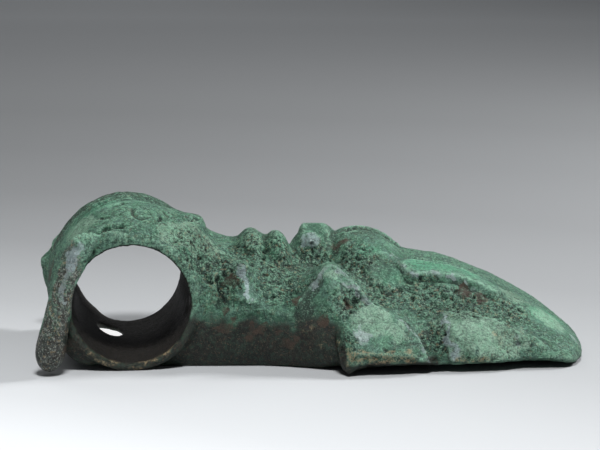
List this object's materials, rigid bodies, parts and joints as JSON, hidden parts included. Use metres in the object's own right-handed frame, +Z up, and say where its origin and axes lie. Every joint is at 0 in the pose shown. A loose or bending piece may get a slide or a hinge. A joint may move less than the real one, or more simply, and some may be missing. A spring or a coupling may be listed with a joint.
{
  "type": "bronze age axe head",
  "caption": "Cast bronze shaft-hole axe head with a thick-walled round socket, waisted neck and broad blade in high relief, patinated green",
  "frame": {"origin": "middle of the underside that the head lies on, at the centre of its plan", "axes": "+X from the socket to the cutting edge, Y along the haft's hole with the hanging lip at -Y, +Z up from the underside to the relief cheek"},
  "size_m": [0.1428, 0.076, 0.0406],
  "materials": {
    "patinated_bronze": "matte green patina over cast bronze, darker and browner inside the socket and underneath, worn grey on the high points"
  },
  "bodies": {
    "root": {"axe_head": "patinated_bronze"}
  },
  "joints": []
}
